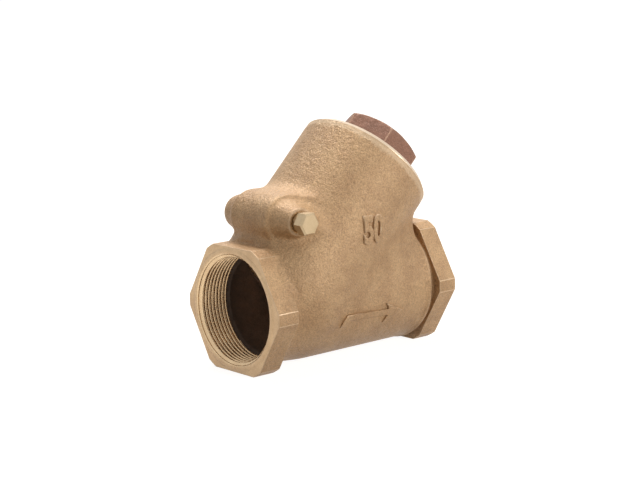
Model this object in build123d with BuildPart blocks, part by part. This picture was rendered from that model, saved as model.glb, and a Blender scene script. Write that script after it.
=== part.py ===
from build123d import *
from math import cos, radians, sin
import os

# Swing check valve with threaded hexagon ends and a screwed cap on a sloping neck.
# The valve stands on its lowest hexagon flats: the origin is on that floor, under the middle
# of the run. +X is the flow, +Z is up, and the plug of the hinge pin is on the -Y side.
# Lengths are in millimetres. Heights along the neck are measured from the run's axis.

# Run, from the inlet face to the outlet face
face_to_face = 133.0
passage_r = 27.0
hex_land = 0.8
hex_corner_cut = 1.76
hex_edge = 0.8
inlet_hex_len = 14.2
outlet_hex_len = 13.0
facing_w = 2.6
facing_rise = 0.4
barrel_wall_t = 6.3
barrel_inlet_wall_t = 4.8
barrel_collar_len = 5.0
barrel_swell_len = 20.0
shoulder_round = 1.5
groove_drop = 1.8
groove_len = 4.0

# Pipe thread of both ends, drawn at its crests: 2 inch, parallel, 11 turns to the inch
thread_step = 1.33
thread_len = 19.0
mouth_sink = 2.27

# Seat and the sloping wall that carries it, heights up the neck from the run's axis
seat_height = 19.0
seat_bore_step = 2.5
seat_ring_w = 2.7
seat_rise = 2.0
seat_wall_t = 5.0

# Neck, with the chamber that the disc swings in and the thread for the cap above it
neck_angle = 45.0
neck_x = 28.6
neck_wall_t = 5.1
neck_foot_height = 12.0
neck_fillet = 12.0
rim_height = 95.2
chamber_play = 3.7
cap_thread_step = 0.3

# Hinge, with its pocket, bulge and bosses on the body
hinge_height = 30.5
hinge_setback = 4.0
pocket_play = 1.8
pocket_end_play = 1.0
pocket_rise = 14.0
pocket_drop = 8.0
pocket_mouth_w = 5.0
bulge_wall_t = 3.5
bulge_end_t = 2.0
bulge_round = 1.5
boss_wall_t = 2.95
boss_near_len = 12.7
boss_near_flare = 3.5
boss_far_len = 11.0
boss_far_flare = 2.5
boss_round = 3.5
pin_r = 3.0
pin_edge = 0.6
pin_clearance = 0.06
pin_end_play = 0.5
blind_floor_t = 4.0

# Plug of the hinge pin, with its thread drawn at the crests of the hole
plug_hole_r = 4.35
plug_hole_depth = 8.0
plug_sink_w = 1.85
plug_fit = 0.05
plug_shank_len = 7.0
plug_collar_w = 0.5
plug_collar_len = 2.9
plug_hex_af = 11.5
plug_hex_len = 5.8
plug_hex_edge = 0.9

# Cap
cap_thread_fit = 0.15
cap_thread_len = 11.0
cap_thread_runout = 2.0
cap_flange_t = 4.3
cap_flange_edge = 1.2
cap_skirt_t = 5.0
cap_crown_t = 4.5
cap_hex_af = 42.8
cap_hex_len = 16.0
cap_hex_turn = -3.5
cap_bevel_w = 6.0
cap_bevel_drop = 3.5
cap_hollow_r = 15.5

# Disc holder with its stem and stud, and the soft disc with its washer and nut
seat_gap = 0.1
seat_overlap = 0.2
soft_disc_t = 5.0
soft_disc_lip = 1.0
holder_rim_t = 1.8
holder_fit = 0.1
holder_plate_t = 3.0
holder_edge_t = 1.0
holder_cone_r = 12.0
collar_r = 8.0
collar_len = 2.5
stem_r = 5.0
stem_clearance = 0.05
stem_thread_r = 4.4
stem_end_len = 2.0
stud_r = 4.0
stud_end_len = 1.5
washer_r = 11.0
washer_t = 1.6
stud_nut_af = 13.0
stud_nut_t = 5.0
nut_fit = 0.05
hanger_nut_af = 16.0
hanger_nut_t = 6.0

# Hanger
eye_wall_t = 5.45
eye_t = 7.0
eye_play = 0.2
knuckle_wall_t = 4.2
knuckle_len = 24.0
arm_width = 16.0
arm_root_drop = 4.5
arm_root_rise = 4.5
arm_heel = 8.2
arm_edge = 1.5

# Radii worked out from the sizes above
thread_crest_r = passage_r + thread_step
mouth_r = thread_crest_r + mouth_sink
facing_r = mouth_r + facing_w
hex_across_flats = 2 * (facing_r + hex_land)
hex_corner_r = hex_across_flats / 2 / cos(radians(30)) - hex_corner_cut
seat_bore_r = passage_r - seat_bore_step
barrel_r = passage_r + barrel_wall_t
barrel_inlet_r = passage_r + barrel_inlet_wall_t
groove_r = barrel_r - groove_drop
seat_ring_r = seat_bore_r + seat_ring_w
soft_disc_r = seat_ring_r + seat_overlap
holder_r = soft_disc_r + holder_fit + holder_rim_t
chamber_r = holder_r + chamber_play
cap_thread_r = chamber_r + cap_thread_step
neck_r = cap_thread_r + neck_wall_t
pin_bore_r = pin_r + pin_clearance
knuckle_r = pin_r + knuckle_wall_t
pocket_r = knuckle_r + pocket_play
bulge_r = pocket_r + bulge_wall_t
boss_near_r = plug_hole_r + boss_wall_t
boss_root_r = boss_near_r + boss_near_flare
boss_far_r = boss_root_r - boss_far_flare
plug_sink_r = plug_hole_r + plug_sink_w
plug_collar_r = plug_hole_r + plug_collar_w
eye_bore_r = stem_r + stem_clearance
eye_r = eye_bore_r + eye_wall_t

# Places and planes worked out from the sizes above
run_height = hex_across_flats / 2
inlet_x = -face_to_face / 2
hinge_offset = chamber_r + hinge_setback
pocket_half_len = knuckle_len / 2 + pocket_end_play
bulge_half_len = pocket_half_len + bulge_end_t
boss_near_y = -bulge_half_len - boss_near_len
boss_far_y = bulge_half_len + boss_far_len
run_section = Plane(origin=(inlet_x, 0, run_height), x_dir=(1, 0, 0), z_dir=(0, -1, 0))
run_axis = Axis((inlet_x, 0, run_height), (1, 0, 0))
up_neck = (cos(radians(neck_angle)), 0, sin(radians(neck_angle)))
across_neck = (sin(radians(neck_angle)), 0, -cos(radians(neck_angle)))
neck_origin = (inlet_x + neck_x, 0, run_height)
neck_plane = Plane(origin=neck_origin, x_dir=across_neck, z_dir=up_neck)
neck_section = Plane(origin=neck_origin, x_dir=across_neck, z_dir=(0, -1, 0))
neck_axis = Axis(neck_origin, up_neck)
hinge_point = neck_plane.from_local_coords(Vector(-hinge_offset, 0, hinge_height))
pin_axis = Axis(hinge_point, (0, 1, 0))
pin_profile = Plane(origin=hinge_point, x_dir=(0, 1, 0), z_dir=across_neck)
swell_end_x = inlet_hex_len + barrel_collar_len + barrel_swell_len
outlet_hex_x = face_to_face - outlet_hex_len
shoulder_end_x = outlet_hex_x - groove_len
seat_floor = seat_height - seat_rise
blind_end_y = boss_far_y - blind_floor_t
pin_far_y = blind_end_y - pin_end_play
pin_near_y = boss_near_y + plug_shank_len + pin_end_play
disc_face = seat_height + seat_gap
disc_back = disc_face + soft_disc_t
plate_top = disc_back + holder_plate_t
collar_top = plate_top + collar_len
eye_base = collar_top + eye_play
eye_top = eye_base + eye_t
nut_base = eye_top + eye_play
stem_top = nut_base + hanger_nut_t + stem_end_len
washer_base = disc_face - washer_t
stud_nut_base = washer_base - stud_nut_t
stud_end = stud_nut_base - stud_end_len
flange_top = rim_height + cap_flange_t
cap_top = flange_top + cap_hex_len

os.makedirs("parts", exist_ok=True)


def run_station(x):
    """Cross-section plane of the run, at a distance from the inlet face."""
    return Plane(origin=(inlet_x + x, 0, run_height), x_dir=(0, 1, 0), z_dir=(1, 0, 0))


def hinge_section(y):
    """Plane square to the hinge pin, with its x across the neck and its y up the neck."""
    return Plane(origin=(hinge_point.X, y, hinge_point.Z), x_dir=across_neck, z_dir=(0, -1, 0))


def hex_end(face_x, length, outward):
    """Hexagon end with two level flats, truncated corners and a ring faced at its mouth."""
    inner_x = face_x - outward * length
    cast_face_x = face_x - outward * facing_rise
    with BuildPart() as end:
        with BuildSketch(run_station(min(cast_face_x, inner_x))):
            RegularPolygon(hex_across_flats / 2, 6, major_radius=False)
        extrude(amount=length - facing_rise)
        with BuildSketch(run_section):
            with BuildLine():
                Polyline(
                    (inner_x, 0),
                    (inner_x, hex_corner_r - hex_edge),
                    (inner_x + outward * hex_edge, hex_corner_r),
                    (cast_face_x - outward * hex_edge, hex_corner_r),
                    (cast_face_x, hex_corner_r - hex_edge),
                    (cast_face_x, 0),
                    close=True,
                )
            make_face()
        revolve(axis=run_axis, mode=Mode.INTERSECT)
        with BuildSketch(run_section):
            with BuildLine():
                Polyline(
                    (inner_x, 0),
                    (inner_x, facing_r),
                    (face_x, facing_r),
                    (face_x, 0),
                    close=True,
                )
            make_face()
        revolve(axis=run_axis)
    return end.part


def threaded_mouth(face_x, inward):
    """Countersunk pipe-thread hole of one end, with the cone that runs out into the passage."""
    sink_x = face_x + inward * mouth_sink
    thread_end_x = face_x + inward * thread_len
    runout_x = thread_end_x + inward * (thread_crest_r - passage_r)
    with BuildPart() as mouth:
        with BuildSketch(run_section):
            with BuildLine():
                Polyline(
                    (face_x, 0),
                    (face_x, mouth_r),
                    (sink_x, thread_crest_r),
                    (thread_end_x, thread_crest_r),
                    (runout_x, passage_r),
                    (runout_x, 0),
                    close=True,
                )
            make_face()
        revolve(axis=run_axis)
    return mouth.part


# Flow space before the seat, under the sloping wall
with BuildPart() as inlet_space:
    with BuildSketch(run_station(0)):
        Circle(passage_r)
    extrude(amount=face_to_face)
    split(bisect_by=neck_plane.offset(seat_floor - seat_wall_t), keep=Keep.BOTTOM)

# Flow space behind the seat, above the sloping wall
with BuildPart() as outlet_space:
    with BuildSketch(run_station(0)):
        Circle(passage_r)
    extrude(amount=face_to_face)
    split(bisect_by=neck_plane.offset(seat_floor), keep=Keep.TOP)

# Seat bore, the chamber around the raised seat and the thread for the cap
with BuildPart() as neck_space:
    with BuildSketch(neck_section):
        with BuildLine():
            Polyline(
                (0, 0),
                (seat_bore_r, 0),
                (seat_bore_r, seat_height),
                (seat_ring_r, seat_height),
                (seat_ring_r, seat_floor),
                (chamber_r, seat_floor),
                (chamber_r, rim_height - cap_thread_len - cap_thread_runout),
                (cap_thread_r, rim_height - cap_thread_len - cap_thread_runout),
                (cap_thread_r, rim_height),
                (0, rim_height),
                close=True,
            )
        make_face()
    revolve(axis=neck_axis)

# Pocket for the hanger's knuckle, open towards the chamber
with BuildPart() as knuckle_space:
    with BuildSketch(hinge_section(0)):
        Circle(pocket_r)
        with Locations((hinge_offset - chamber_r, 0)):
            Rectangle(pocket_mouth_w, pocket_rise, align=(Align.MIN, Align.MIN))
            Rectangle(pocket_mouth_w, pocket_drop, align=(Align.MIN, Align.MAX))
        make_hull()
    extrude(amount=pocket_half_len, both=True)

# Bulge over the hinge, with a tapered boss for each end of the pin
with BuildPart() as hinge_housing:
    with BuildSketch(pin_profile):
        with BuildLine():
            Polyline(
                (boss_near_y, 0),
                (boss_near_y, boss_near_r),
                (-bulge_half_len, boss_root_r),
                (-bulge_half_len, bulge_r),
                (bulge_half_len, bulge_r),
                (bulge_half_len, boss_root_r),
                (boss_far_y, boss_far_r),
                (boss_far_y, 0),
                close=True,
            )
        make_face()
    revolve(axis=pin_axis)
    rims = hinge_housing.edges().filter_by(GeomType.CIRCLE)
    fillet(rims.filter_by(lambda rim: rim.radius > boss_root_r), bulge_round)
    fillet(hinge_housing.edges().filter_by(GeomType.CIRCLE).sort_by(Axis.Y)[-1], boss_round)

inlet_hex = hex_end(0, inlet_hex_len, -1)
outlet_hex = hex_end(face_to_face, outlet_hex_len, 1)
inlet_mouth = threaded_mouth(0, 1)
outlet_mouth = threaded_mouth(face_to_face, -1)

# Barrel behind the swell and the neck with its rounded foot. Both are drawn long, so that the
# fillet between them is whole, and are then cut at the groove, the rim and the inlet hexagon.
with BuildPart() as saddle:
    with BuildSketch(run_station(swell_end_x)):
        Circle(barrel_r)
    extrude(amount=face_to_face)
    with BuildSketch(neck_section):
        with BuildLine():
            Line((0, neck_foot_height - neck_r), (0, 2 * rim_height))
            Line((0, 2 * rim_height), (-neck_r, 2 * rim_height))
            Line((-neck_r, 2 * rim_height), (-neck_r, neck_foot_height))
            CenterArc((0, neck_foot_height), neck_r, 180, 90)
        make_face()
    revolve(axis=neck_axis)
    fillet(saddle.edges().filter_by(GeomType.BSPLINE), neck_fillet)
    split(bisect_by=run_station(shoulder_end_x), keep=Keep.BOTTOM)
    split(bisect_by=neck_plane.offset(rim_height), keep=Keep.BOTTOM)
    split(bisect_by=run_station(inlet_hex_len - facing_rise - hex_edge), keep=Keep.TOP)
    shoulder_face = saddle.faces().sort_by(Axis.X)[-1]
    fillet(shoulder_face.edges(), shoulder_round)

with BuildPart() as valve_body:
    add(saddle.part)
    # The neck's own wall where it overhangs the groove
    with BuildSketch(neck_plane.offset(seat_height)):
        Circle(neck_r)
    extrude(amount=rim_height - seat_height)
    # Barrel of the run up to the swell, and the core under the groove
    with BuildSketch(run_section):
        with BuildLine():
            Polyline(
                (facing_rise + hex_edge, 0),
                (facing_rise + hex_edge, barrel_inlet_r),
                (inlet_hex_len + barrel_collar_len, barrel_inlet_r),
                (swell_end_x, barrel_r),
                (swell_end_x, groove_r),
                (outlet_hex_x + hex_edge, groove_r),
                (outlet_hex_x + hex_edge, 0),
                close=True,
            )
        make_face()
    revolve(axis=run_axis)
    add(hinge_housing.part)
    add(inlet_hex)
    add(outlet_hex)
    # Inside
    add(inlet_space.part, mode=Mode.SUBTRACT)
    add(outlet_space.part, mode=Mode.SUBTRACT)
    add(neck_space.part, mode=Mode.SUBTRACT)
    add(knuckle_space.part, mode=Mode.SUBTRACT)
    add(inlet_mouth, mode=Mode.SUBTRACT)
    add(outlet_mouth, mode=Mode.SUBTRACT)
    # Holes for the pin and its plug
    with BuildSketch(hinge_section(blind_end_y)):
        Circle(pin_bore_r)
    extrude(amount=blind_end_y - boss_near_y, mode=Mode.SUBTRACT)
    with Locations(hinge_section(boss_near_y)):
        CounterSinkHole(plug_hole_r, plug_sink_r, plug_hole_depth)

with BuildPart() as cap:
    # Crown with its flange on the rim and its threaded skirt in the neck
    with BuildSketch(neck_section):
        with BuildLine():
            Polyline(
                (0, rim_height),
                (neck_r, rim_height),
                (neck_r, flange_top - cap_flange_edge),
                (neck_r - cap_flange_edge, flange_top),
                (0, flange_top),
                close=True,
            )
        make_face()
    revolve(axis=neck_axis)
    with BuildSketch(neck_plane.offset(rim_height)):
        Circle(cap_thread_r - cap_thread_fit)
    extrude(amount=-cap_thread_len)
    # Hexagon head, its corners turned down at the top
    with BuildSketch(neck_plane.offset(flange_top)):
        RegularPolygon(cap_hex_af / 2, 6, major_radius=False, rotation=cap_hex_turn)
    extrude(amount=cap_hex_len)
    with BuildSketch(neck_section):
        with BuildLine():
            Polyline(
                (cap_hex_af / 2, cap_top),
                (cap_hex_af / 2 + cap_bevel_w, cap_top - cap_bevel_drop),
                (cap_hex_af / 2 + cap_bevel_w, cap_top),
                close=True,
            )
        make_face()
    revolve(axis=neck_axis, mode=Mode.SUBTRACT)
    # Hollow inside the skirt and the head
    with BuildSketch(neck_plane.offset(flange_top - cap_crown_t)):
        Circle(cap_thread_r - cap_thread_fit - cap_skirt_t)
    extrude(amount=-cap_thread_len - cap_flange_t, mode=Mode.SUBTRACT)
    with BuildSketch(neck_plane.offset(cap_top - cap_crown_t)):
        Circle(cap_hollow_r)
    extrude(amount=-cap_hex_len, mode=Mode.SUBTRACT)

with BuildPart() as pin_plug:
    # Hexagon head with level flats, its outer edges broken
    with BuildSketch(hinge_section(boss_near_y - plug_collar_len)):
        RegularPolygon(plug_hex_af / 2, 6, major_radius=False, rotation=neck_angle)
    extrude(amount=plug_hex_len)
    chamfer(pin_plug.faces().sort_by(Axis.Y)[0].edges(), plug_hex_edge)
    with BuildSketch(hinge_section(boss_near_y)):
        Circle(plug_collar_r)
    extrude(amount=plug_collar_len)
    with BuildSketch(hinge_section(boss_near_y)):
        Circle(plug_hole_r - plug_fit)
    extrude(amount=-plug_shank_len)

with BuildPart() as hinge_pin:
    with BuildSketch(hinge_section(pin_far_y)):
        Circle(pin_r)
    extrude(amount=pin_far_y - pin_near_y)
    chamfer(hinge_pin.edges().filter_by(GeomType.CIRCLE), pin_edge)

# Arm of the hanger, drawn from the side
with BuildPart() as hanger_arm:
    with BuildSketch(hinge_section(0)):
        with BuildLine():
            Polyline(
                (0, -arm_root_drop),
                (arm_heel, eye_base - hinge_height),
                (hinge_offset, eye_base - hinge_height),
                (hinge_offset, eye_top - hinge_height),
                (hinge_offset - eye_r, eye_top - hinge_height),
                (0, arm_root_rise),
                close=True,
            )
        make_face()
    extrude(amount=arm_width / 2, both=True)
    arm_sides = hanger_arm.faces().filter_by(Axis.Y)
    chamfer(arm_sides.edges(), arm_edge)

with BuildPart() as disc_hanger:
    with BuildSketch(hinge_section(0)):
        Circle(knuckle_r)
    extrude(amount=knuckle_len / 2, both=True)
    add(hanger_arm.part)
    with BuildSketch(neck_plane.offset(eye_base)):
        Circle(eye_r)
    extrude(amount=eye_t)
    with BuildSketch(neck_plane.offset(eye_base)):
        Circle(eye_bore_r)
    extrude(amount=eye_t, mode=Mode.SUBTRACT)
    with BuildSketch(hinge_section(0)):
        Circle(pin_bore_r)
    extrude(amount=knuckle_len / 2, both=True, mode=Mode.SUBTRACT)

with BuildPart() as disc_holder:
    with BuildSketch(neck_section):
        with BuildLine():
            Polyline(
                (0, stud_end),
                (stud_r, stud_end),
                (stud_r, disc_back),
                (soft_disc_r + holder_fit, disc_back),
                (soft_disc_r + holder_fit, disc_face + soft_disc_lip),
                (holder_r, disc_face + soft_disc_lip),
                (holder_r, disc_back + holder_edge_t),
                (holder_cone_r, plate_top),
                (collar_r, plate_top),
                (collar_r, collar_top),
                (stem_r, collar_top),
                (stem_r, nut_base),
                (stem_thread_r, nut_base),
                (stem_thread_r, stem_top),
                (0, stem_top),
                close=True,
            )
        make_face()
    revolve(axis=neck_axis)

with BuildPart() as seat_disc:
    with BuildSketch(neck_plane.offset(disc_face)):
        Circle(soft_disc_r)
        Circle(stud_r + holder_fit, mode=Mode.SUBTRACT)
    extrude(amount=soft_disc_t)

with BuildPart() as seat_disc_washer:
    with BuildSketch(neck_plane.offset(washer_base)):
        Circle(washer_r)
        Circle(stud_r + holder_fit, mode=Mode.SUBTRACT)
    extrude(amount=washer_t)

with BuildPart() as seat_disc_nut:
    with BuildSketch(neck_plane.offset(stud_nut_base)):
        RegularPolygon(stud_nut_af / 2, 6, major_radius=False)
        Circle(stud_r + nut_fit, mode=Mode.SUBTRACT)
    extrude(amount=stud_nut_t)

with BuildPart() as hanger_nut:
    with BuildSketch(neck_plane.offset(nut_base)):
        RegularPolygon(hanger_nut_af / 2, 6, major_radius=False)
        Circle(stem_thread_r + nut_fit, mode=Mode.SUBTRACT)
    extrude(amount=hanger_nut_t)

valve_body.part.label = "valve_body"
cap.part.label = "cap"
pin_plug.part.label = "pin_plug"
hinge_pin.part.label = "hinge_pin"
disc_hanger.part.label = "disc_hanger"
disc_holder.part.label = "disc_holder"
seat_disc.part.label = "seat_disc"
seat_disc_washer.part.label = "seat_disc_washer"
seat_disc_nut.part.label = "seat_disc_nut"
hanger_nut.part.label = "hanger_nut"

export_step(valve_body.part, "parts/valve_body.step")
export_step(cap.part, "parts/cap.step")
export_step(pin_plug.part, "parts/pin_plug.step")
export_step(hinge_pin.part, "parts/hinge_pin.step")
export_step(disc_hanger.part, "parts/disc_hanger.step")
export_step(disc_holder.part, "parts/disc_holder.step")
export_step(seat_disc.part, "parts/seat_disc.step")
export_step(seat_disc_washer.part, "parts/seat_disc_washer.step")
export_step(seat_disc_nut.part, "parts/seat_disc_nut.step")
export_step(hanger_nut.part, "parts/hanger_nut.step")
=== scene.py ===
from math import cos, pi, radians, sin, sqrt, tau

import bmesh
import bpy
import numpy as np
import openvdb
from mathutils import Matrix, Vector


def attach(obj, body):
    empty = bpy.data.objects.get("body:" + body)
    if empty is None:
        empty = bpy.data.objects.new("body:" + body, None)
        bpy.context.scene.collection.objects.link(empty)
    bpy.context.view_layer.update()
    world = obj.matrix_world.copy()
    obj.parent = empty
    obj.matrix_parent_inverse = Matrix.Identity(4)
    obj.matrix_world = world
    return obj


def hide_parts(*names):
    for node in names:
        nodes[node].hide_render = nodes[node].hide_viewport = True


# Swing check valve in cast bronze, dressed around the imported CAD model.
# Sizes in this file are in millimetres until a mesh is made. The frame is the CAD's: +X is the
# flow, +Z is up, and the origin is on the floor under the middle of the run.

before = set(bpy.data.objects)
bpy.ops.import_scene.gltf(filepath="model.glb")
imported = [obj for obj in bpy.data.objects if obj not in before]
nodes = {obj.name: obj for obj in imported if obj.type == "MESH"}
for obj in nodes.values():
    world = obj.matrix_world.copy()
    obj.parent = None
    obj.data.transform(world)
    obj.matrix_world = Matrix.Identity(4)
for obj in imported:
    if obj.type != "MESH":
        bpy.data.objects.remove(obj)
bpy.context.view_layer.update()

MM = 0.001

# Run: the sizes of the part's source, with stations from the inlet face
FACE_TO_FACE = 133.0
RUN_HEIGHT = 34.0
INLET_X = -FACE_TO_FACE / 2
HEX_AF = 68.0
HEX_CORNER_R = 37.5
INLET_HEX_LEN = 14.2
OUTLET_HEX_X = 120.0
FACING_R = 33.2
FACING_RISE = 0.4
BARREL_R = 33.3
BARREL_INLET_R = 31.8
BARREL_COLLAR_END = 19.2
BARREL_SWELL_END = 39.2
GROOVE_R = 31.5
PASSAGE_R = 27.0
THREAD_CREST_R = 28.33
THREAD_LEN = 19.0
MOUTH_R = 30.6

# Neck, seat and hinge: the sizes of the part's source, with heights up the neck from the run's axis
NECK_X = INLET_X + 28.6
NECK_R = 38.4
NECK_FOOT_HEIGHT = 12.0
NECK_FILLET = 12.0
RIM_HEIGHT = 95.2
SEAT_HEIGHT = 19.0
SEAT_FLOOR = 17.0
SEAT_BORE_R = 24.5
SEAT_RING_R = 27.2
SEAT_WALL_T = 5.0
CHAMBER_R = 33.0
CAP_THREAD_R = 33.3
CAP_THREAD_LOW = 82.2
HINGE_HEIGHT = 30.5
HINGE_OFFSET = 37.0
POCKET_R = 9.0
POCKET_HALF_LEN = 13.0
POCKET_MOUTH_W = 5.0
POCKET_MOUTH_MIDDLE = HINGE_HEIGHT + 3.0
BULGE_R = 12.5
BULGE_HALF_LEN = 15.0
BOSS_ROOT_R = 10.8
BOSS_NEAR_R = 7.3
BOSS_NEAR_Y = -27.7
BOSS_FAR_R = 8.3
BOSS_FAR_Y = 26.0
BOSS_FAR_ROUND = 3.5
PIN_FAR_Y = 22.0
PLUG_HOLE_R = 4.35
PLUG_HOLE_DEPTH = 8.0

# Cap: the sizes of the part's source
FLANGE_TOP = 99.5
CAP_TOP = 115.5
SKIRT_LOW = 84.2
SKIRT_R = 33.15
SKIRT_HOLLOW_R = 28.15
SKIRT_HOLLOW_TOP = 95.0
CAP_HEX_AF = 42.8
CAP_HEX_TURN = -3.5
CAP_BEVEL_W = 6.0
CAP_BEVEL_DROP = 3.5
CAP_BEVEL_SLANT = 6.95
CAP_HOLLOW_R = 15.5
CAP_HOLLOW_TOP = 111.0

# Finer forms that only this file has: edges, blends, threads, and a little more room for what moves
HEX_EDGE = 0.55
HEX_CORNER_EDGE = 0.12
HEX_SKIN = 0.3
SHOULDER_X = 117.7
SHOULDER_BEAD_X = 115.2
SHOULDER_BEAD_R = 33.84
SHOULDER_ROUND = 1.5
SHOULDER_EDGE = 1.4
GROOVE_ROUND = 1.2
INLET_HEX_BLEND = 2.2
OUTLET_HEX_BLEND = 2.0
BULGE_ROUND = 2.0
NEAR_BOSS_EDGE = 0.8
NEAR_BOSS_BLEND = 1.6
FAR_BOSS_BLEND = 2.2
BLEND_BELOW = 4.5
BLEND_ABOVE = 14.0
PLUG_SINK_R = 5.5
PIN_BORE_R = 3.1
POCKET_MOUTH_HALF = 11.2
FLANGE_BEVEL = 2.2
FLANGE_MACHINED_FROM = 97.1
THREAD_PITCH = 2.309
THREAD_DEPTH = 1.35
CAP_THREAD_PITCH = 2.0
CAP_THREAD_DEPTH = 1.1
THREAD_ROOM = 0.2
SKIN = 0.03


def neck_coords(x, z):
    """Distances across the neck and up the neck of points of the row frame."""
    return ((x - NECK_X) - (z - RUN_HEIGHT)) / sqrt(2), ((x - NECK_X) + (z - RUN_HEIGHT)) / sqrt(2)


def neck_point(height):
    """Point of the neck's axis at a height up the neck."""
    return Vector((NECK_X + height / sqrt(2), 0, RUN_HEIGHT + height / sqrt(2)))


# Signed distances: negative inside the metal. The blends give the casting its fillets.
def join(a, b, width):
    """Union of two forms with a fillet between them, whose size goes with width."""
    h = np.clip(0.5 + 0.5 * (b - a) / width, 0, 1)
    return b * (1 - h) + a * h - width * h * (1 - h)


def cut(a, b, width=0.4):
    """First form without the second, with the edge between them rounded."""
    return -join(-a, b, width)


def both(a, b, width=0.4):
    """What two forms share, with the edge between them rounded."""
    return -join(-a, -b, width)


def fillet_width(radius, cosine):
    """Width of a join that rounds the crease between two surfaces to that radius.

    cosine is that of the angle between the surfaces' normals, so nearly flush ones aren't swollen.
    """
    return np.maximum(4 * radius * (1 - np.sqrt(np.clip(0.5 + 0.5 * cosine, 0, 1))), 0.05)


def hexagon(a, b, across_flats, turn=0.0):
    """Hexagonal prism without ends. At no turn two of its flats are square to b."""
    far = np.full(np.shape(a), -1e3, np.float32)
    for k in range(3):
        angle = radians(90 + 60 * k + turn)
        far = np.maximum(far, np.abs(a * cos(angle) + b * sin(angle)) - across_flats / 2)
    return far


def slab(along, low, high):
    """Everything between two planes."""
    return np.abs(along - (low + high) / 2) - (high - low) / 2


def cone(radial, along, low, low_r, high, high_r):
    """Cone frustum without ends, level beyond its two stations."""
    tilt = 1 / sqrt(1 + ((high_r - low_r) / (high - low)) ** 2)
    return (radial - np.interp(along, (low, high), (low_r, high_r))) * tilt


def hex_end(station, y, up, low, high, skin=0.0):
    """Hexagon end of the run with truncated corners and softened edges.

    skin makes it smaller all round, for the metal that lies under a hexagon's own crisp piece.
    """
    prism = both(hexagon(y, up, HEX_AF), np.hypot(y, up) - HEX_CORNER_R, HEX_CORNER_EDGE)
    return both(prism, slab(station, low, high), HEX_EDGE) + skin


INLET_HEX = (FACING_RISE, INLET_HEX_LEN)
OUTLET_HEX = (OUTLET_HEX_X, FACE_TO_FACE - FACING_RISE)


def outer_form(x, y, z):
    """Outside of the casting: the run, the neck, the hinge's bulge and bosses, both hexagons.

    It stops a little short of the rim and of the hexagons' surfaces, which are pieces of their own.
    """
    station = x - INLET_X
    up = z - RUN_HEIGHT
    across, height = neck_coords(x, z)
    run_r = np.maximum(np.hypot(y, up), 0.1)
    barrel = run_r - np.interp(station, (BARREL_COLLAR_END, BARREL_SWELL_END), (BARREL_INLET_R, BARREL_R))
    below = np.minimum(height - NECK_FOOT_HEIGHT, 0)
    neck_far = np.maximum(np.sqrt(across**2 + y**2 + below**2), 0.1)
    neck = neck_far - NECK_R
    cosine = (y**2 + up * (below - across) / sqrt(2)) / (run_r * neck_far)
    radius = np.interp(cosine, (-0.2, 0.9), (NECK_FILLET, 2.5 * NECK_FILLET))
    body = join(barrel, neck, fillet_width(radius, cosine))
    bead = both(run_r - SHOULDER_BEAD_R, slab(station, SHOULDER_BEAD_X, SHOULDER_X + 2), SHOULDER_ROUND)
    body = both(join(body, bead, SHOULDER_ROUND), station - SHOULDER_X, SHOULDER_EDGE)
    # The neck leans out over the shoulder, and the body begins inside the inlet's hexagon
    body = join(body, np.maximum(neck, SEAT_HEIGHT - height), 0.5)
    body = both(body, INLET_HEX_LEN - 3.0 - station, 1.0)
    # Core of the run, which shows in the groove before the outlet's hexagon
    core = np.maximum(run_r - GROOVE_R, np.abs(station - FACE_TO_FACE / 2) - FACE_TO_FACE / 2 + 2.0)
    body = join(body, core, GROOVE_ROUND)
    hinge_r = np.hypot(across + HINGE_OFFSET, height - HINGE_HEIGHT)
    bulge = both(hinge_r - BULGE_R, slab(y, -BULGE_HALF_LEN, BULGE_HALF_LEN), BULGE_ROUND)
    near_boss = both(cone(hinge_r, y, BOSS_NEAR_Y, BOSS_NEAR_R, -BULGE_HALF_LEN, BOSS_ROOT_R),
                     slab(y, BOSS_NEAR_Y, 0.0), NEAR_BOSS_EDGE)
    far_boss = both(cone(hinge_r, y, BULGE_HALF_LEN, BOSS_ROOT_R, BOSS_FAR_Y, BOSS_FAR_R),
                    slab(y, 0.0, BOSS_FAR_Y), BOSS_FAR_ROUND)
    housing = join(join(bulge, near_boss, NEAR_BOSS_BLEND), far_boss, FAR_BOSS_BLEND)
    # The bulge runs wide into the neck above it and is tighter on the barrel below it
    above = np.clip((height - HINGE_HEIGHT + 4.0) / 12.0, 0, 1)
    body = join(body, housing, BLEND_BELOW + (BLEND_ABOVE - BLEND_BELOW) * above * above * (3 - 2 * above))
    body = both(body, height - RIM_HEIGHT + 0.4, 0.1)
    inlet_hex = hex_end(station, y, up, *INLET_HEX, HEX_SKIN)
    outlet_hex = hex_end(station, y, up, *OUTLET_HEX, HEX_SKIN)
    return join(join(body, inlet_hex, INLET_HEX_BLEND), outlet_hex, OUTLET_HEX_BLEND)


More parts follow.
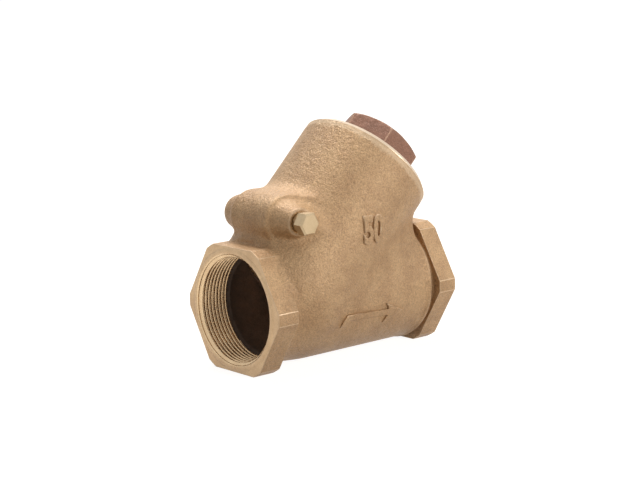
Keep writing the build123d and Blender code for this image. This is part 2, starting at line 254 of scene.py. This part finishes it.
def inner_space(x, y, z):
    """Passages, seat bore, chamber, hinge pocket and the room for the threads inside the casting."""
    station = x - INLET_X
    up = z - RUN_HEIGHT
    across, height = neck_coords(x, z)
    run_r = np.hypot(y, up)
    neck_r = np.hypot(across, y)
    hinge_r = np.hypot(across + HINGE_OFFSET, height - HINGE_HEIGHT)
    passage = run_r - PASSAGE_R
    before_seat = np.maximum(passage, height - (SEAT_FLOOR - SEAT_WALL_T))
    behind_seat = np.maximum(passage, SEAT_FLOOR - height)
    seat_bore = np.maximum(neck_r - SEAT_BORE_R, -height)
    chamber = np.maximum(neck_r - CHAMBER_R, SEAT_HEIGHT - height)
    around_seat = np.maximum(np.maximum(neck_r - CHAMBER_R, SEAT_RING_R - neck_r), SEAT_FLOOR - height)
    cap_room = np.maximum(neck_r - CAP_THREAD_R - CAP_THREAD_DEPTH - THREAD_ROOM, CAP_THREAD_LOW - height)
    mouth = np.maximum(np.abs(across + CHAMBER_R) - POCKET_MOUTH_W,
                       np.abs(height - POCKET_MOUTH_MIDDLE) - POCKET_MOUTH_HALF)
    pocket = np.maximum(np.minimum(hinge_r - POCKET_R, mouth), np.abs(y) - POCKET_HALF_LEN)
    pin_hole = np.maximum(hinge_r - PIN_BORE_R, np.abs(y) - PIN_FAR_Y)
    from_end = y - BOSS_NEAR_Y
    plug_hole = np.maximum(hinge_r - PLUG_HOLE_R, np.abs(from_end) - PLUG_HOLE_DEPTH)
    plug_sink = np.maximum(hinge_r + from_end - PLUG_SINK_R, np.abs(from_end) - PLUG_SINK_R)
    end_room = np.maximum(run_r - THREAD_CREST_R - THREAD_DEPTH - 0.5,
                          FACE_TO_FACE / 2 - THREAD_LEN - 1.6 - np.abs(x))
    space = before_seat
    for form in (behind_seat, seat_bore, chamber, around_seat, cap_room, pocket, pin_hole,
                 plug_hole, plug_sink, end_room):
        space = np.minimum(space, form)
    return space


def casting(x, y, z):
    """The whole casting: the outer form without the inner space."""
    return cut(outer_form(x, y, z), inner_space(x, y, z), 0.5)


def cap_form(x, y, z):
    """Cap: flange, hexagon head with its bevel, and the skirt, whose thread is a piece of its own."""
    across, height = neck_coords(x, z)
    radial = np.hypot(across, y)
    flange = both(radial - NECK_R + 0.3, slab(height, RIM_HEIGHT + 0.3, FLANGE_TOP), 0.15)
    flange = both(flange, (radial + height - NECK_R - FLANGE_TOP + FLANGE_BEVEL + 0.5) / sqrt(2), 0.5)
    head = both(hexagon(across, y, CAP_HEX_AF, CAP_HEX_TURN), slab(height, RIM_HEIGHT + 2, CAP_TOP), 0.5)
    bevel = (radial - CAP_HEX_AF / 2) * CAP_BEVEL_DROP + (height - CAP_TOP) * CAP_BEVEL_W
    bevel = bevel / CAP_BEVEL_SLANT
    head = both(head, bevel, 0.4)
    skirt = np.maximum(radial - SKIRT_R + CAP_THREAD_DEPTH + THREAD_ROOM,
                       slab(height, SKIRT_LOW, RIM_HEIGHT + 1))
    whole = join(np.minimum(flange, skirt), head, 1.6)
    hollow = np.maximum(radial - SKIRT_HOLLOW_R, height - SKIRT_HOLLOW_TOP)
    hollow = np.minimum(hollow, np.maximum(radial - CAP_HOLLOW_R, height - CAP_HOLLOW_TOP))
    return cut(whole, hollow, 0.6)


def gradient(form, p, step=0.05):
    """Direction in which a form's distance grows, at each point."""
    g = np.empty_like(p)
    for k in range(3):
        d = np.zeros(3)
        d[k] = step
        g[:, k] = form(*(p + d).T) - form(*(p - d).T)
    return g / np.maximum(np.linalg.norm(g, axis=1, keepdims=True), 1e-9)


def new_object(name, points, faces, body, slot, *materials, form=None):
    """Smooth mesh object from points in millimetres, riding on a body of the frame.

    Where the form that it was made from is given, its normals are the form's own.
    """
    mesh = bpy.data.meshes.new(name)
    mesh.from_pydata((np.asarray(points) * MM).tolist(), [], [list(map(int, f)) for f in faces])
    obj = bpy.data.objects.new(name, mesh)
    bpy.context.scene.collection.objects.link(obj)
    bm = bmesh.new()
    bm.from_mesh(mesh)
    bmesh.ops.remove_doubles(bm, verts=bm.verts, dist=0.002 * MM)
    bmesh.ops.dissolve_degenerate(bm, edges=bm.edges, dist=0.002 * MM)
    bm.to_mesh(mesh)
    bm.free()
    mesh.polygons.foreach_set("use_smooth", [True] * len(mesh.polygons))
    for material in materials:
        mesh.materials.append(material)
    if form:
        places = np.empty(len(mesh.vertices) * 3)
        mesh.vertices.foreach_get("co", places)
        mesh.normals_split_custom_set_from_vertices(gradient(form, places.reshape(-1, 3) / MM).tolist())
    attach(obj, body)
    return obj


def mesh_of_form(form, low, high, step, merge=0.0):
    """Points and faces of a form's surface, from a grid of that step, moved onto the exact surface.

    merge lets faces grow where the surface is nearly flat.
    """
    axes = [np.arange(a, b + step, step, dtype=np.float32) for a, b in zip(low, high)]
    values = np.empty([len(a) for a in axes], np.float32)
    for first in range(0, len(axes[0]), 16):
        x, y, z = np.meshgrid(axes[0][first:first + 16], axes[1], axes[2], indexing="ij")
        values[first:first + 16] = np.clip(form(x, y, z), -4 * step, 4 * step)
    grid = openvdb.FloatGrid(background=4 * step)
    grid.copyFromArray(values)
    points, triangles, quads = grid.convertToPolygons(isovalue=0.0, adaptivity=merge)
    points = points.astype(float) * step + np.array([a[0] for a in axes])
    for _ in range(3):
        distance = form(*points.T)
        points = points - gradient(form, points) * np.clip(distance, -step / 2, step / 2)[:, None]
    return points, list(triangles) + list(quads)


def grid_faces(index):
    """Four-sided faces between the neighbouring points of a table of point numbers."""
    return np.stack([index[:-1, :-1], index[:-1, 1:], index[1:, 1:], index[1:, :-1]], -1).reshape(-1, 4)


def paint(obj, *regions):
    """Give the faces whose centre lies in a region that region's material, by its number."""
    centres = np.array([p.center for p in obj.data.polygons]) / MM
    number = np.zeros(len(centres), int)
    for index, inside in regions:
        number[inside(*centres.T)] = index
    obj.data.polygons.foreach_set("material_index", number)


# Materials
def node(tree, kind, **values):
    """Shader node with its properties and its named inputs set."""
    n = tree.nodes.new(kind)
    for key, value in values.items():
        socket = key.replace("_", " ")
        if socket in n.inputs:
            n.inputs[socket].default_value = value
        else:
            setattr(n, key, value)
    return n


def metal(name, light, dark, roughness, metallic=0.75, grain=0.9, relief=0.12, patch=12.0, speckle=0.12,
          worn=None, painted_bore_shade=None):
    """Cast or turned metal: two tones in patches, fine grain in colour and relief, uneven gloss.

    grain and patch are sizes in millimetres, relief is the grain's height in millimetres. worn is the
    colour of rubbed edges. The last argument is painted shade, darkening the passage towards its ends
    deep in the bore: from and to a distance in metres from the run's middle, down to a part of the colour.
    """
    mat = bpy.data.materials.new(name)
    mat.use_nodes = True
    tree = mat.node_tree
    tree.nodes.clear()
    link = tree.links.new
    out = node(tree, "ShaderNodeOutputMaterial")
    shader = node(tree, "ShaderNodeBsdfPrincipled", Metallic=metallic)
    link(shader.outputs["BSDF"], out.inputs["Surface"])
    where = node(tree, "ShaderNodeTexCoord").outputs["Object"]
    patches = node(tree, "ShaderNodeTexNoise", Scale=1 / (patch * MM), Detail=3.0, Roughness=0.6)
    grains = node(tree, "ShaderNodeTexNoise", Scale=1 / (grain * MM), Detail=4.0, Roughness=0.65)
    coarse = node(tree, "ShaderNodeTexNoise", Scale=1 / (2.6 * grain * MM), Detail=2.0)
    for n in (patches, grains, coarse):
        link(where, n.inputs["Vector"])
    spread = node(tree, "ShaderNodeMapRange", From_Min=0.36, From_Max=0.64)
    link(patches.outputs["Fac"], spread.inputs["Value"])
    tone = node(tree, "ShaderNodeMix", data_type="RGBA")
    tone.inputs["A"].default_value = (*dark, 1)
    tone.inputs["B"].default_value = (*light, 1)
    link(spread.outputs["Result"], tone.inputs["Factor"])
    spots = node(tree, "ShaderNodeMapRange", From_Min=0.3, From_Max=0.7,
                 To_Min=1 - speckle, To_Max=1 + speckle)
    link(grains.outputs["Fac"], spots.inputs["Value"])
    speckled = node(tree, "ShaderNodeVectorMath", operation="MULTIPLY")
    link(tone.outputs["Result"], speckled.inputs[0])
    link(spots.outputs["Result"], speckled.inputs[1])
    colour = speckled.outputs["Vector"]
    if worn:
        edge = node(tree, "ShaderNodeNewGeometry").outputs["Pointiness"]
        rub = node(tree, "ShaderNodeMapRange", From_Min=0.515, From_Max=0.56)
        link(edge, rub.inputs["Value"])
        wear = node(tree, "ShaderNodeMix", data_type="RGBA")
        link(rub.outputs["Result"], wear.inputs["Factor"])
        link(colour, wear.inputs["A"])
        wear.inputs["B"].default_value = (*worn, 1)
        colour = wear.outputs["Result"]
    # Painted shade: the colour darkens towards the ends of the run, deep in the bore
    if painted_bore_shade:
        split = node(tree, "ShaderNodeSeparateXYZ")
        link(where, split.inputs["Vector"])
        from_middle = node(tree, "ShaderNodeMath", operation="ABSOLUTE")
        link(split.outputs["X"], from_middle.inputs[0])
        part = node(tree, "ShaderNodeMapRange", From_Min=painted_bore_shade[0], From_Max=painted_bore_shade[1], To_Min=1.0,
                    To_Max=painted_bore_shade[2])
        link(from_middle.outputs["Value"], part.inputs["Value"])
        bore_shade_mix = node(tree, "ShaderNodeVectorMath", operation="MULTIPLY")
        link(colour, bore_shade_mix.inputs[0])
        link(part.outputs["Result"], bore_shade_mix.inputs[1])
        colour = bore_shade_mix.outputs["Vector"]
    link(colour, shader.inputs["Base Color"])
    gloss = node(tree, "ShaderNodeMapRange", From_Min=0.3, From_Max=0.7,
                 To_Min=roughness - 0.07, To_Max=roughness + 0.07)
    link(coarse.outputs["Fac"], gloss.inputs["Value"])
    link(gloss.outputs["Result"], shader.inputs["Roughness"])
    height = node(tree, "ShaderNodeMath", operation="MULTIPLY_ADD")
    link(coarse.outputs["Fac"], height.inputs[0])
    height.inputs[1].default_value = 1.4
    link(grains.outputs["Fac"], height.inputs[2])
    bump = node(tree, "ShaderNodeBump", Strength=0.9, Distance=relief * MM)
    link(height.outputs["Value"], bump.inputs["Height"])
    link(bump.outputs["Normal"], shader.inputs["Normal"])
    return mat


cast_bronze = metal("cast_bronze", (0.53, 0.335, 0.172), (0.44, 0.265, 0.132), 0.5, metallic=0.28,
                    grain=0.8, relief=0.37, speckle=0.3, worn=(0.66, 0.47, 0.29))
# Inside of the casting: a darker colour, plus a darkening towards the ends of the run, both painted shade
# for the hollows and the deep bore
painted_shade_inside = metal("painted_shade_inside", (0.31, 0.2, 0.145), (0.24, 0.155, 0.11), 0.75, metallic=0.2, grain=1.0,
                   relief=0.2, painted_bore_shade=(0.030, 0.047, 0.3))
turned_bronze = metal("turned_bronze", (0.80, 0.59, 0.36), (0.68, 0.48, 0.28), 0.27, metallic=0.75,
                      grain=0.5, relief=0.04)
faced_bronze = metal("faced_bronze", (0.72, 0.51, 0.30), (0.61, 0.415, 0.24), 0.42, metallic=0.6, grain=0.6,
                     relief=0.08)
# Rounded edges of the hexagons: a lighter colour, a painted highlight
edge_highlight_bronze = metal("edge_highlight_bronze", (0.70, 0.50, 0.32), (0.60, 0.42, 0.25), 0.4, metallic=0.4, grain=0.7,
                    relief=0.12)
rim_bronze = metal("rim_bronze", (0.78, 0.61, 0.44), (0.70, 0.54, 0.38), 0.36, metallic=0.6, grain=0.6,
                   relief=0.06)
cap_bronze = metal("cap_bronze", (0.27, 0.128, 0.078), (0.21, 0.098, 0.058), 0.5, metallic=0.3, grain=0.7,
                   relief=0.2, speckle=0.25, worn=(0.34, 0.18, 0.115))
# Corners of the cap's hexagon: a lighter colour, a painted highlight
cap_corner_highlight = metal("cap_corner_highlight", (0.42, 0.25, 0.165), (0.35, 0.195, 0.125), 0.45, metallic=0.35, grain=0.7,
                   relief=0.12)
plug_brass = metal("plug_brass", (0.58, 0.44, 0.27), (0.50, 0.37, 0.215), 0.36, metallic=0.7, grain=0.4,
                   relief=0.04)
turned_brass = metal("turned_brass", (0.70, 0.54, 0.28), (0.62, 0.46, 0.23), 0.3, metallic=0.95, grain=0.5,
                     relief=0.02)
pin_steel = metal("pin_steel", (0.42, 0.42, 0.43), (0.36, 0.36, 0.37), 0.28, metallic=1.0, grain=0.4,
                  relief=0.01)
soft_disc = metal("soft_disc", (0.80, 0.79, 0.76), (0.74, 0.73, 0.70), 0.55, metallic=0.0, grain=0.8,
                  relief=0.02)


# Regions that take a material of their own
def in_hollow(x, y, z):
    """Inside the casting, away from its outer surface."""
    return np.abs(outer_form(x, y, z)) > 0.6


def on_seat(x, y, z):
    """The machined ring of the seat and the top of its bore."""
    across, height = neck_coords(x, z)
    radial = np.hypot(across, y)
    return (radial < SEAT_RING_R + 0.2) & (radial > SEAT_BORE_R - 0.2) & (height > SEAT_FLOOR - 4) & (
        height < SEAT_HEIGHT + 0.3)


def in_plug_sink(x, y, z):
    """The hole of the plug with its countersink."""
    across, height = neck_coords(x, z)
    hinge_r = np.hypot(across + HINGE_OFFSET, height - HINGE_HEIGHT)
    return (hinge_r < PLUG_SINK_R + 0.3) & (y < BOSS_NEAR_Y + PLUG_HOLE_DEPTH) & (y > BOSS_NEAR_Y - 1)


def on_cap_highlight(x, y, z):
    """The corners of the cap's hexagon, a narrow strip along each, where a highlight is painted."""
    across, height = neck_coords(x, z)
    around = (np.degrees(np.arctan2(y, across)) - CAP_HEX_TURN) % 60
    near = np.minimum(around, 60 - around) < 1.2
    return near & (np.hypot(across, y) > CAP_HEX_AF / 2) & (height > FLANGE_TOP)


# The casting and the cap, from grids that reach a little past them
STEP = 0.6
CASTING_LOW, CASTING_HIGH = (-70, -41, -3), (70, 41, 131)
CAP_LOW, CAP_HIGH = (-17, -40, 65), (77, 40, 141)
points, faces = mesh_of_form(casting, CASTING_LOW, CASTING_HIGH, STEP, merge=0.008)
skin = new_object("cast_body", points, faces, "body", "cast_bronze", cast_bronze, painted_shade_inside, turned_bronze,
                  form=casting)
# The hollows take the darker inside colour, which is painted shade; the seat and the plug's countersink are
# turned
paint(skin, (1, in_hollow), (2, on_seat), (2, in_plug_sink))
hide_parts("valve_body")

points, faces = mesh_of_form(cap_form, CAP_LOW, CAP_HIGH, STEP * 0.75, merge=0.01)
lid = new_object("cap_shell", points, faces, "cap", "cap_bronze", cap_bronze, cap_corner_highlight, form=cap_form)
# The corners of the cap's hexagon get a painted highlight
paint(lid, (1, on_cap_highlight))
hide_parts("cap")


def turned_ring(name, profile, body, slot, *materials):
    """Turned surface around the neck's axis through (radius, height) pairs.

    A second material goes on what lies above FLANGE_MACHINED_FROM.
    """
    angle = np.linspace(0, tau, 145)
    rows = []
    for radius, height in profile:
        across, y = radius * np.cos(angle), radius * np.sin(angle)
        rows.append(np.stack([NECK_X + (across + height) / sqrt(2), y,
                              RUN_HEIGHT + (height - across) / sqrt(2)], -1))
    faces = grid_faces(np.arange(len(rows) * len(angle)).reshape(len(rows), len(angle)))
    obj = new_object(name, np.concatenate(rows), faces, body, slot, *materials)
    obj.data.set_sharp_from_angle(angle=radians(30))
    if len(materials) > 1:
        paint(obj, (1, lambda x, y, z: neck_coords(x, z)[1] > FLANGE_MACHINED_FROM))
    return obj


OUT_R = NECK_R + SKIN
UNDER_RIM = RIM_HEIGHT - 0.02
turned_ring("neck_rim", ((NECK_R - SKIN, RIM_HEIGHT - 3.2), (OUT_R, RIM_HEIGHT - 2.2),
                         (OUT_R, RIM_HEIGHT - 1.0), (OUT_R, UNDER_RIM), (NECK_R - 0.6, UNDER_RIM),
                         (CAP_THREAD_R + 1.0, UNDER_RIM)),
            "body", "cast_bronze", cast_bronze)
turned_ring("cap_flange", ((CAP_THREAD_R, RIM_HEIGHT), (OUT_R, RIM_HEIGHT), (OUT_R, FLANGE_MACHINED_FROM),
                           (OUT_R, FLANGE_TOP - FLANGE_BEVEL), (NECK_R - FLANGE_BEVEL, FLANGE_TOP + SKIN),
                           (NECK_R - 3.0, FLANGE_TOP + SKIN), (NECK_R - 6.0, FLANGE_TOP + SKIN),
                           (NECK_R - 6.4, FLANGE_TOP - SKIN)),
            "cap", "cap_bronze", cast_bronze, rim_bronze)


EDGE_ROWS = np.array([0.62, 0.45, 0.3, 0.16, 0.06])


def hex_piece(name, low, high, front):
    """Skin of a hexagon end with its crisp edges, between two stations, open around the mouth.

    front is -1 where the mouth is at the low station and 1 where it is at the high one. Points lie
    dense beside each edge, EDGE_ROWS gives how far from it, and are then moved onto the exact form.
    """
    def form(x, y, z):
        return hex_end(x - INLET_X, y, z - RUN_HEIGHT, low, high)

    turn = np.arange(0, 60, 1.5)
    crease = np.degrees(np.arccos(HEX_AF / 2 / HEX_CORNER_R))
    near = np.array([-0.8, -0.4, -0.12, 0, 0.12, 0.4, 0.8])
    turn = np.unique(np.round(np.concatenate([turn, 30 + crease - 60 + near, 30 - crease + near]) % 60, 3))
    angle = np.radians(np.concatenate([turn + 60 * k for k in range(6)] + [[360.0]]))
    from_flat = np.radians((np.degrees(angle) % 60) - 30)
    outline = np.minimum(HEX_AF / 2 / np.cos(from_flat), HEX_CORNER_R)
    face, back = (low, high) if front < 0 else (high, low)
    inward = -front
    rows = [(np.full_like(outline, FACING_R - 0.2), face)]
    rows += [(outline - d, face) for d in (1.4, *EDGE_ROWS, 0.0)]
    rows += [(outline, face + inward * d) for d in (*EDGE_ROWS[::-1], 1.5)]
    rows += [(outline, (low + high) / 2)]
    rows += [(outline, back - inward * d) for d in (1.5, *EDGE_ROWS, 0.0)]
    rows += [(outline - d, back) for d in (*EDGE_ROWS[::-1], 1.4, 3.0)]
    grid = np.array([(np.full_like(r, INLET_X + at), r * np.cos(angle), RUN_HEIGHT + r * np.sin(angle))
                     for r, at in rows]).transpose(0, 2, 1)
    points = grid.reshape(-1, 3)
    for _ in range(3):
        points = points - gradient(form, points) * form(*points.T)[:, None]
    faces = grid_faces(np.arange(len(points)).reshape(len(rows), len(angle)))
    if front > 0:
        faces = faces[:, ::-1]
    obj = new_object(name, points, faces, "body", "cast_bronze", cast_bronze, faced_bronze, edge_highlight_bronze,
                     form=form)

    def on_edge(x, y, z):
        """The rounded edges: where the surface leans along the run, or turns between two flats."""
        slope = gradient(form, np.stack([x, y, z], -1))
        around = np.degrees(np.arctan2(slope[:, 2], slope[:, 1])) % 60 - 30
        rim = (np.abs(slope[:, 0]) > 0.25) & (np.abs(slope[:, 0]) < 0.97)
        corner = (np.abs(slope[:, 0]) <= 0.25) & (np.abs(around) > 4) & (np.abs(around) < 22)
        return rim | corner

    # The faced ring around the mouth gets its machined finish, and the rounded edges get a painted highlight
    paint(obj, (1, lambda x, y, z: np.abs(x - INLET_X - face) < 0.1), (2, on_edge))


hex_piece("inlet_hexagon", *INLET_HEX, -1)
hex_piece("outlet_hexagon", *OUTLET_HEX, 1)


# Machined walls with their real threads
def thread_wave(turn):
    """Depth of a rounded thread, 0 at the crest and 1 at the root, for a part of a turn."""
    ramp = np.abs((turn % 1.0) * 2 - 1)
    return 0.5 + 0.5 * np.clip(np.sin((0.5 - ramp) * pi) * 1.35, -1, 1)


def threaded_wall(name, start, along, wall, pitch, depth, span, body, materials, ring=()):
    """Round wall with a helical thread, from a start point along an axis square to Y.

    wall gives the wall's radius at distances from the start, depth is the thread's, below zero for a
    thread on the outside, and span is the stretch that is threaded. ring holds (radius, distance)
    pairs of a faced ring around the wall's start, for the ends of the run. There the second material
    goes on the face around the mouth, and the third on what lies behind the thread.
    """
    per_turn, segments = 12, 144
    along = Vector(along).normalized()
    side = Vector((0, 1, 0))
    other = along.cross(side)
    deep = wall[-1][0]
    rows = np.arange(-per_turn, int(deep / pitch * per_turn) + 2 * per_turn)
    row, col = np.meshgrid(rows, np.arange(segments + 1), indexing="ij")
    angle = col * tau / segments
    distance = np.clip((row / per_turn + angle / tau) * pitch, 0, deep)
    fade = np.clip((distance - span[0]) / 1.0, 0, 1) * np.clip((span[1] - distance) / 1.6, 0, 1)
    radius = np.interp(distance, [w[0] for w in wall], [w[1] for w in wall])
    radius = radius + depth * fade * thread_wave(row / per_turn)

    def place(r, a, d):
        return (np.array(start) + d[..., None] * np.array(along)
                + (r * np.cos(a))[..., None] * np.array(side) + (r * np.sin(a))[..., None] * np.array(other))

    points = place(radius, angle, distance).reshape(-1, 3)
    faces = grid_faces(np.arange(row.size).reshape(row.shape))
    faces = faces[np.ptp(distance.ravel()[faces], axis=1) > 1e-6]
    if ring:
        r, d = np.array(ring).T
        r, a = np.meshgrid(r, angle[0], indexing="ij")
        d = np.repeat(d[:, None], segments + 1, axis=1)
        index = np.arange(r.size).reshape(r.shape) + len(points)
        points = np.concatenate([points, place(r, a, d).reshape(-1, 3)])
        faces = np.concatenate([faces, grid_faces(index)[:, ::-1]])
    if depth < 0:
        faces = faces[:, ::-1]
    used, inverse = np.unique(faces, return_inverse=True)
    obj = new_object(name, points[used], inverse.reshape(-1, 4), body, "cast_bronze", *materials)
    if ring:
        paint(obj, (1, lambda x, y, z: np.hypot(y, z - RUN_HEIGHT) > MOUTH_R),
              (2, lambda x, y, z: np.abs(x) < FACE_TO_FACE / 2 - THREAD_LEN))


END_WALL = ((0, MOUTH_R), (2.0, THREAD_CREST_R), (THREAD_LEN, THREAD_CREST_R), (20.43, PASSAGE_R - 0.1),
            (20.8, PASSAGE_R - 0.1))
END_RING = ((MOUTH_R, 0.0), (31.2, 0.0), (FACING_R - 1.2, 0.0), (FACING_R - 0.9, 0.04),
            (FACING_R + 0.1, FACING_RISE - 0.02), (FACING_R + 0.3, FACING_RISE + 0.3))
# Behind each thread the bore takes the darker inside colour, painted shade that deepens towards the ends
for name, x, way in (("inlet_mouth", INLET_X, 1), ("outlet_mouth", -INLET_X, -1)):
    threaded_wall(name, (x, 0, RUN_HEIGHT), (way, 0, 0), END_WALL, THREAD_PITCH, THREAD_DEPTH, (0.5, 19.6),
                  "body", (turned_bronze, faced_bronze, painted_shade_inside), ring=END_RING)
UP_NECK = (1, 0, 1)
DOWN_NECK = (-1, 0, -1)
threaded_wall("neck_thread", neck_point(RIM_HEIGHT), DOWN_NECK,
              ((0, CAP_THREAD_R + 1.0), (1.0, CAP_THREAD_R), (13.0, CAP_THREAD_R), (13.3, CHAMBER_R)),
              CAP_THREAD_PITCH, CAP_THREAD_DEPTH, (0.4, 12.6), "body", (turned_bronze,))
threaded_wall("cap_thread", neck_point(SKIRT_LOW), UP_NECK,
              ((0, SKIRT_R - 1.2), (1.2, SKIRT_R), (10.98, SKIRT_R)),
              CAP_THREAD_PITCH, -CAP_THREAD_DEPTH, (0.2, 10.4), "cap", (turned_bronze,))


# Raised marks of the foundry: a flow arrow and a plain number, laid on the casting's flank
def flank_y(x, z):
    """Where the near side of the casting is, seen along Y, found by halving."""
    low, high = np.full(np.shape(x), CASTING_LOW[1] - 5.0), np.full(np.shape(x), -12.0)
    for _ in range(30):
        middle = (low + high) / 2
        inside = outer_form(x, middle, z) < 0
        high = np.where(inside, middle, high)
        low = np.where(inside, low, middle)
    return low


def raised_mark(name, curve, x, z, width, height, turn, rise):
    """Mesh of a filled flat curve, bent onto the flank, with rounded edges.

    width and height are what one unit of the curve comes to, and turn tips it clockwise.
    """
    curve.extrude = 0.35 * rise / height
    curve.bevel_depth = 0.6 * rise / height
    curve.bevel_resolution = 3
    curve.resolution_u = 8
    flat = bpy.data.objects.new(name + "_flat", curve)
    bpy.context.scene.collection.objects.link(flat)
    bpy.context.view_layer.update()
    mesh = bpy.data.meshes.new_from_object(flat.evaluated_get(bpy.context.evaluated_depsgraph_get()))
    bpy.data.objects.remove(flat)
    bm = bmesh.new()
    bm.from_mesh(mesh)
    bmesh.ops.triangulate(bm, faces=bm.faces)
    bmesh.ops.subdivide_edges(bm, edges=[e for e in bm.edges if e.calc_length() > 1.5 / height], cuts=2,
                              use_grid_fill=True)
    bm.to_mesh(mesh)
    bm.free()
    flat_points = np.array([v.co for v in mesh.vertices]) * (width, height, height)
    px = x + flat_points[:, 0] * cos(turn) + flat_points[:, 1] * sin(turn)
    pz = z + flat_points[:, 1] * cos(turn) - flat_points[:, 0] * sin(turn)
    py = flank_y(px, pz) - (flat_points[:, 2] + 0.05 * rise)
    faces = [list(p.vertices) for p in mesh.polygons]
    return new_object(name, np.stack([px, py, pz], -1), faces, "body", "cast_bronze", cast_bronze)


def outline_curve(name, corners):
    """Filled flat curve with straight sides."""
    curve = bpy.data.curves.new(name, "CURVE")
    curve.dimensions = "2D"
    curve.fill_mode = "BOTH"
    spline = curve.splines.new("POLY")
    spline.points.add(len(corners) - 1)
    for point, (a, b) in zip(spline.points, corners):
        point.co = (a, b, 0, 1)
    spline.use_cyclic_u = True
    return curve


ARROW = ((0.0, -4.2), (2.4, -4.2), (4.6, -1.1), (35.0, -1.1), (33.5, -4.6), (43.5, 0.0), (33.5, 3.8),
         (35.0, 1.1), (2.6, 1.1), (0.8, -1.4))
raised_mark("flow_arrow", outline_curve("flow_arrow", ARROW), x=-16.5, z=26.4, width=1.0, height=1.0,
            turn=radians(2.8), rise=1.2)
number_text = bpy.data.curves.new("size_number", "FONT")
number_text.body = "50"
number_text.offset = 0.015
raised_mark("size_number", number_text, x=-6.5, z=67.3, width=14.0, height=19.8, turn=0.0, rise=1.2)

# CAD pieces that keep their shape
for name, material in (("pin_plug", plug_brass), ("hinge_pin", pin_steel),
                       ("disc_hanger", cast_bronze), ("disc_holder", turned_brass), ("seat_disc", soft_disc),
                       ("seat_disc_washer", turned_brass), ("seat_disc_nut", turned_brass),
                       ("hanger_nut", turned_brass)):
    for slot in nodes[name].material_slots:
        slot.material = material


# Floor, light and camera
def background_strength(tree, seen, otherwise):
    """Socket with one strength for what the camera and reflections see, and another for light."""
    path = node(tree, "ShaderNodeLightPath")
    either = node(tree, "ShaderNodeMath", operation="MAXIMUM")
    tree.links.new(path.outputs["Is Camera Ray"], either.inputs[0])
    tree.links.new(path.outputs["Is Glossy Ray"], either.inputs[1])
    strength = node(tree, "ShaderNodeMapRange", To_Min=otherwise, To_Max=seen)
    tree.links.new(either.outputs["Value"], strength.inputs["Value"])
    return strength.outputs["Result"]


floor_mesh = bpy.data.meshes.new("floor")
REACH = 30.0
floor_mesh.from_pydata([(-REACH, -REACH, 0), (REACH, -REACH, 0), (REACH, REACH, 0), (-REACH, REACH, 0)], [],
                       [(0, 1, 2, 3)])
floor = bpy.data.objects.new("floor", floor_mesh)
bpy.context.scene.collection.objects.link(floor)
white = bpy.data.materials.new("floor_white")
white.use_nodes = True
tree = white.node_tree
tree.nodes.clear()
floor_out = node(tree, "ShaderNodeOutputMaterial")
floor_sum = node(tree, "ShaderNodeAddShader")
floor_diffuse = node(tree, "ShaderNodeBsdfDiffuse", Color=(0.36, 0.32, 0.27, 1))
floor_glow = node(tree, "ShaderNodeEmission", Color=(1, 1, 1, 1))
# The floor keeps a faint shadow near the object and is white far away
floor_where = node(tree, "ShaderNodeTexCoord")
floor_distance = node(tree, "ShaderNodeVectorMath", operation="LENGTH")
tree.links.new(floor_where.outputs["Object"], floor_distance.inputs[0])
floor_fade = node(tree, "ShaderNodeMapRange", From_Min=0.3, From_Max=1.2, To_Min=0.92, To_Max=1.0)
tree.links.new(floor_distance.outputs["Value"], floor_fade.inputs["Value"])
floor_seen = node(tree, "ShaderNodeMath", operation="MULTIPLY")
tree.links.new(background_strength(tree, 1.0, 0.0), floor_seen.inputs[0])
tree.links.new(floor_fade.outputs["Result"], floor_seen.inputs[1])
tree.links.new(floor_seen.outputs["Value"], floor_glow.inputs["Strength"])
tree.links.new(floor_diffuse.outputs[0], floor_sum.inputs[0])
tree.links.new(floor_glow.outputs[0], floor_sum.inputs[1])
tree.links.new(floor_sum.outputs[0], floor_out.inputs["Surface"])
floor_mesh.materials.append(white)

WORLD_LIGHT = 0.16
world = bpy.data.worlds.new("studio")
bpy.context.scene.world = world
world.use_nodes = True
tree = world.node_tree
tree.nodes.clear()
world_out = node(tree, "ShaderNodeOutputWorld")
world_light = node(tree, "ShaderNodeBackground", Color=(1, 1, 1, 1))
tree.links.new(background_strength(tree, 1.0, WORLD_LIGHT), world_light.inputs["Strength"])
tree.links.new(world_light.outputs[0], world_out.inputs["Surface"])


def area_light(name, place, size, power, target=(0, 0, 0.05)):
    """Soft square light that looks at a point of the object."""
    light = bpy.data.lights.new(name, "AREA")
    light.size = size
    light.energy = power
    obj = bpy.data.objects.new(name, light)
    obj.location = place
    obj.rotation_euler = (Vector(place) - Vector(target)).to_track_quat("Z", "Y").to_euler()
    bpy.context.scene.collection.objects.link(obj)


area_light("top", place=(0.15, 0.1, 1.3), size=0.35, power=9.5)
area_light("back", place=(0.35, 0.75, 1.1), size=0.5, power=6.5)
area_light("front", place=(0.5, -1.3, 0.5), size=0.5, power=9.4)

camera_data = bpy.data.cameras.new("camera")
camera_data.sensor_width = 36.0
camera_data.lens = 94.95
camera_data.clip_start = 0.01
camera = bpy.data.objects.new("camera", camera_data)
camera.matrix_world = (Matrix.Translation((-0.61787, -0.68103, 0.23506))
                       @ Matrix.Rotation(radians(-42.07), 4, "Z")
                       @ Matrix.Rotation(radians(90 - 10.59), 4, "X")
                       @ Matrix.Rotation(radians(-0.65), 4, "Z"))
bpy.context.scene.collection.objects.link(camera)
bpy.context.scene.camera = camera
bpy.context.scene.view_settings.view_transform = "Standard"
